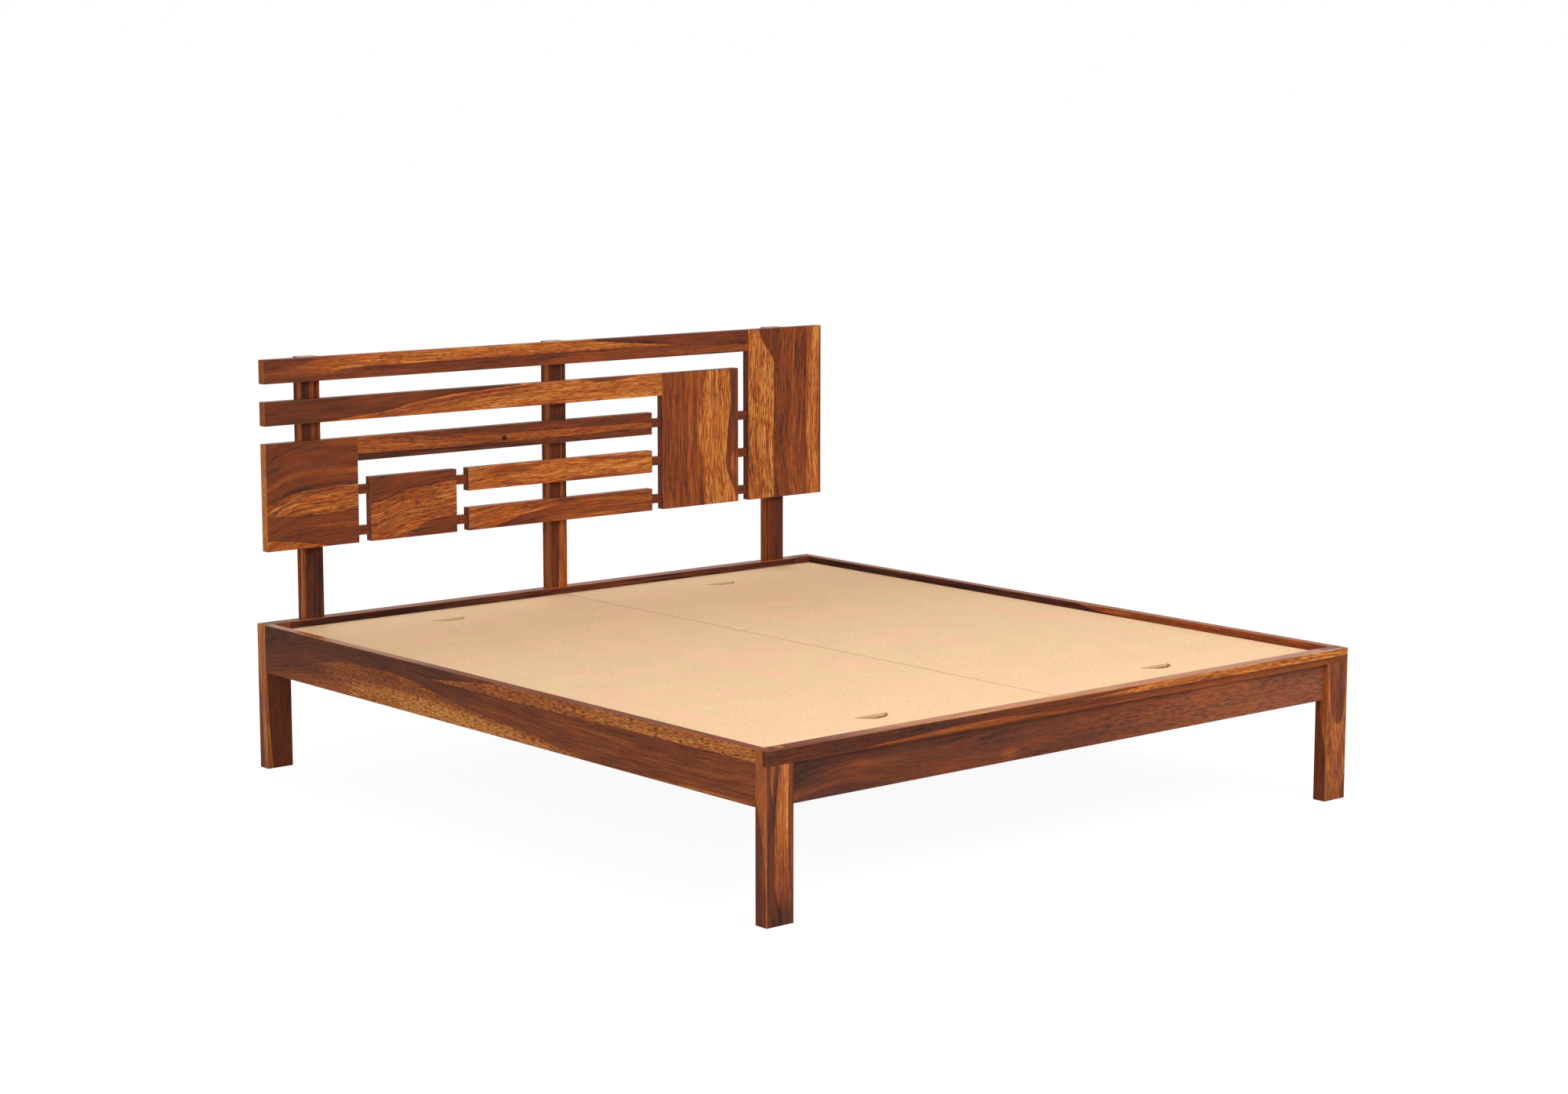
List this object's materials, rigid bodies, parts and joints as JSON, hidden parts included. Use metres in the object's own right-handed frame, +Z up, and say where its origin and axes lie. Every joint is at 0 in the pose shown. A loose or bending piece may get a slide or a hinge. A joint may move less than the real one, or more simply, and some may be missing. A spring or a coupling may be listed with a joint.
{
  "type": "platform bed frame",
  "caption": "Low wooden platform bed frame on square legs, with loose deck boards and an open headboard of slats and staggered panels on posts.",
  "frame": {"origin": "on the floor, at the middle of the bed's width and length", "axes": "+X to the right seen from the foot end, +Y along the bed towards the headboard, +Z up"},
  "size_m": [1.905, 2.083, 1.0805],
  "materials": {
    "show_wood": "strongly figured hardwood, red-brown and orange-brown bands under a semi-gloss lacquer",
    "dark_show_wood": "the same hardwood where it is mostly dark red-brown, semi-gloss lacquer",
    "plain_wood": "planed pale softwood, unfinished",
    "deck_fibreboard": "pale tan fibreboard, smooth and matt with a faint mottle",
    "zinc_steel": "zinc-plated steel, satin",
    "insert_brass": "turned brass, satin",
    "glide_plastic": "black nylon, matt"
  },
  "bodies": {
    "frame": {"head_leg_left": "show_wood", "head_leg_right": "show_wood", "head_rail": "dark_show_wood", "post_left": "show_wood", "post_middle": "show_wood", "post_right": "show_wood", "first_slat": "show_wood", "second_slat": "show_wood", "third_slat": "show_wood", "fourth_slat": "show_wood", "fifth_slat": "show_wood", "left_panel": "show_wood", "small_block": "show_wood", "tall_block": "show_wood", "right_panel": "show_wood", "third_row_ties": "dark_show_wood", "fourth_row_ties": "dark_show_wood", "fifth_row_ties": "dark_show_wood", "board_dowels": "plain_wood", "headboard_screws": "zinc_steel", "foot_leg_left": "show_wood", "foot_leg_right": "show_wood", "foot_rail": "dark_show_wood", "foot_strip": "dark_show_wood", "strip_screws": "zinc_steel", "side_rail_left": "dark_show_wood", "side_rail_right": "dark_show_wood", "rail_dowels": "plain_wood", "bracket_head_left": "zinc_steel", "bracket_head_right": "zinc_steel", "bracket_foot_left": "zinc_steel", "bracket_foot_right": "zinc_steel", "bracket_bolts": "zinc_steel", "bolt_inserts": "insert_brass", "side_cleat_left": "plain_wood", "side_cleat_right": "plain_wood", "cleat_screws": "zinc_steel", "centre_beam": "plain_wood", "beam_rest_head": "plain_wood", "beam_rest_foot": "plain_wood", "rest_screws": "zinc_steel", "cross_slat_1": "plain_wood", "cross_slat_2": "plain_wood", "cross_slat_3": "plain_wood", "cross_slat_4": "plain_wood", "cross_slat_5": "plain_wood", "cross_slat_6": "plain_wood", "cross_slat_7": "plain_wood", "cross_slat_8": "plain_wood", "cross_slat_9": "plain_wood", "slat_screws": "zinc_steel", "centre_leg": "plain_wood", "centre_leg_plate": "zinc_steel", "centre_leg_glide": "glide_plastic", "plate_screws": "zinc_steel"},
    "left_deck": {"deck_board_left": "deck_fibreboard"},
    "right_deck": {"deck_board_right": "deck_fibreboard"}
  },
  "joints": [
    {"name": "left_deck_lift", "type": "slide", "parent": "frame", "child": "left_deck", "axis": [0, 0, 1], "range_m": [0, 0.15]},
    {"name": "right_deck_lift", "type": "slide", "parent": "frame", "child": "right_deck", "axis": [0, 0, 1], "range_m": [0, 0.15]}
  ]
}
